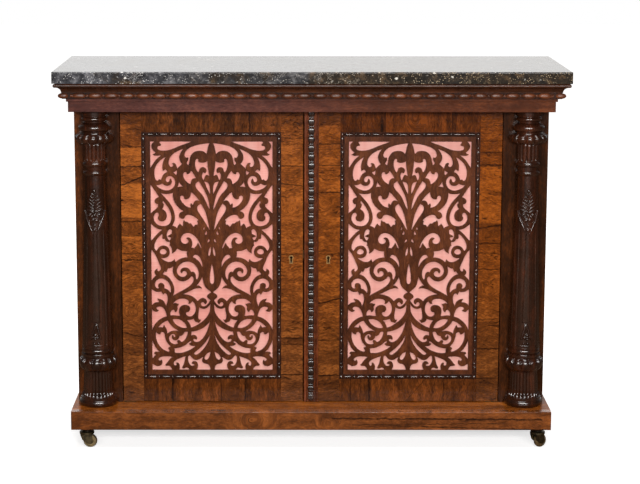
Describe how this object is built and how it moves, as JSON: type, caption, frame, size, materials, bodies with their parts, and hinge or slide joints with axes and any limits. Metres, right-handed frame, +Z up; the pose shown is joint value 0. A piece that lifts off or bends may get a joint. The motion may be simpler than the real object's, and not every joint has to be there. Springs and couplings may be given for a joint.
{
  "type": "chiffonier",
  "caption": "Low two-door chiffonier on castors: marble top, bead-and-reel cornice, turned and carved columns, scroll fret doors over pink silk.",
  "frame": {"origin": "on the floor under the middle of the marble top", "axes": "+Z up, +X to the right seen from the front, the doors face -Y"},
  "size_m": [1.22, 0.42, 0.928],
  "materials": {
    "marble": "polished, dark with pale fossil flecks",
    "rosewood": "french polished, straight and figured grain",
    "column_rosewood": "dark french polish, carved",
    "fret_rosewood": "satin polish",
    "inner_wood": "waxed mahogany",
    "silk": "stretched plain silk",
    "brass": "aged",
    "castor_brass": "tarnished",
    "castor_iron": "dark, worn",
    "lock_steel": "dull"
  },
  "bodies": {
    "carcase": {"back_boards": "inner_wood", "back_muntin": "inner_wood", "bottom_board": "inner_wood", "carcase_top": "inner_wood", "castor_blocks": "inner_wood", "castor_plates": "castor_iron", "column_left": "column_rosewood", "column_right": "column_rosewood", "cornice_bead_strips": "rosewood", "cornice_front": "rosewood", "cornice_returns": "rosewood", "frame_pivot_pins": "brass", "frieze_ends": "rosewood", "frieze_front": "rosewood", "marble_top": "marble", "pilaster_left": "rosewood", "pilaster_right": "rosewood", "plinth_back": "inner_wood", "plinth_front": "rosewood", "plinth_sides": "rosewood", "shelf": "inner_wood", "shelf_bearers": "inner_wood", "side_left": "rosewood", "side_right": "rosewood", "top_back_rail": "inner_wood"},
    "left_door": {"left_door_hinge_stile": "rosewood", "left_door_meeting_stile": "rosewood", "left_door_top_rail": "rosewood", "left_door_bottom_rail": "rosewood", "left_door_panel_bead": "rosewood", "left_door_fret": "fret_rosewood", "left_door_silk": "silk", "left_door_backing": "inner_wood", "left_door_pivot_sockets": "brass", "left_door_keyhole_rim": "brass", "flush_bolt_plates": "brass"},
    "right_door": {"right_door_hinge_stile": "rosewood", "right_door_meeting_stile": "rosewood", "right_door_top_rail": "rosewood", "right_door_bottom_rail": "rosewood", "right_door_panel_bead": "rosewood", "right_door_fret": "fret_rosewood", "right_door_silk": "silk", "right_door_backing": "inner_wood", "right_door_pivot_sockets": "brass", "right_door_keyhole_rim": "brass", "meeting_astragal": "rosewood", "lock_case": "lock_steel"},
    "lock_bolt": {"lock_bolt": "brass"},
    "upper_flush_bolt": {"upper_flush_bolt": "brass"},
    "lower_flush_bolt": {"lower_flush_bolt": "brass"},
    "castor_front_left": {"castor_fork_front_left": "castor_iron"},
    "wheel_front_left": {"castor_wheel_front_left": "castor_brass"},
    "castor_front_right": {"castor_fork_front_right": "castor_iron"},
    "wheel_front_right": {"castor_wheel_front_right": "castor_brass"},
    "castor_rear_left": {"castor_fork_rear_left": "castor_iron"},
    "wheel_rear_left": {"castor_wheel_rear_left": "castor_brass"},
    "castor_rear_right": {"castor_fork_rear_right": "castor_iron"},
    "wheel_rear_right": {"castor_wheel_rear_right": "castor_brass"}
  },
  "joints": [
    {"name": "left_door_hinge", "type": "hinge", "parent": "carcase", "child": "left_door", "pos_m": [-0.451, -0.085, 0.4645], "axis": [0, 0, -1], "range_deg": [0, 95]},
    {"name": "right_door_hinge", "type": "hinge", "parent": "carcase", "child": "right_door", "pos_m": [0.451, -0.085, 0.4645], "axis": [0, 0, 1], "range_deg": [0, 95]},
    {"name": "lock_bolt_slide", "type": "slide", "parent": "right_door", "child": "lock_bolt", "axis": [-1, 0, 0], "range_m": [0, 0.009]},
    {"name": "upper_bolt_slide", "type": "slide", "parent": "left_door", "child": "upper_flush_bolt", "axis": [0, 0, 1], "range_m": [0, 0.01]},
    {"name": "lower_bolt_slide", "type": "slide", "parent": "left_door", "child": "lower_flush_bolt", "axis": [0, 0, -1], "range_m": [0, 0.01]},
    {"name": "castor_swivel_front_left", "type": "hinge", "parent": "carcase", "child": "castor_front_left", "pos_m": [-0.548, -0.141, 0.045], "axis": [0, 0, 1], "continuous": true},
    {"name": "wheel_spin_front_left", "type": "hinge", "parent": "castor_front_left", "child": "wheel_front_left", "pos_m": [-0.54, -0.141, 0.017], "axis": [0, 1, 0], "continuous": true},
    {"name": "castor_swivel_front_right", "type": "hinge", "parent": "carcase", "child": "castor_front_right", "pos_m": [0.555, -0.141, 0.045], "axis": [0, 0, 1], "continuous": true},
    {"name": "wheel_spin_front_right", "type": "hinge", "parent": "castor_front_right", "child": "wheel_front_right", "pos_m": [0.56147, -0.1363, 0.017], "axis": [-0.5878, 0.809, 0], "continuous": true},
    {"name": "castor_swivel_rear_left", "type": "hinge", "parent": "carcase", "child": "castor_rear_left", "pos_m": [-0.548, 0.172, 0.045], "axis": [0, 0, 1], "continuous": true},
    {"name": "wheel_spin_rear_left", "type": "hinge", "parent": "castor_rear_left", "child": "wheel_rear_left", "pos_m": [-0.54048, 0.17474, 0.017], "axis": [-0.342, 0.9397, 0], "continuous": true},
    {"name": "castor_swivel_rear_right", "type": "hinge", "parent": "carcase", "child": "castor_rear_right", "pos_m": [0.555, 0.172, 0.045], "axis": [0, 0, 1], "continuous": true},
    {"name": "wheel_spin_rear_right", "type": "hinge", "parent": "castor_rear_right", "child": "wheel_rear_right", "pos_m": [0.54748, 0.17474, 0.017], "axis": [-0.342, -0.9397, 0], "continuous": true}
  ]
}
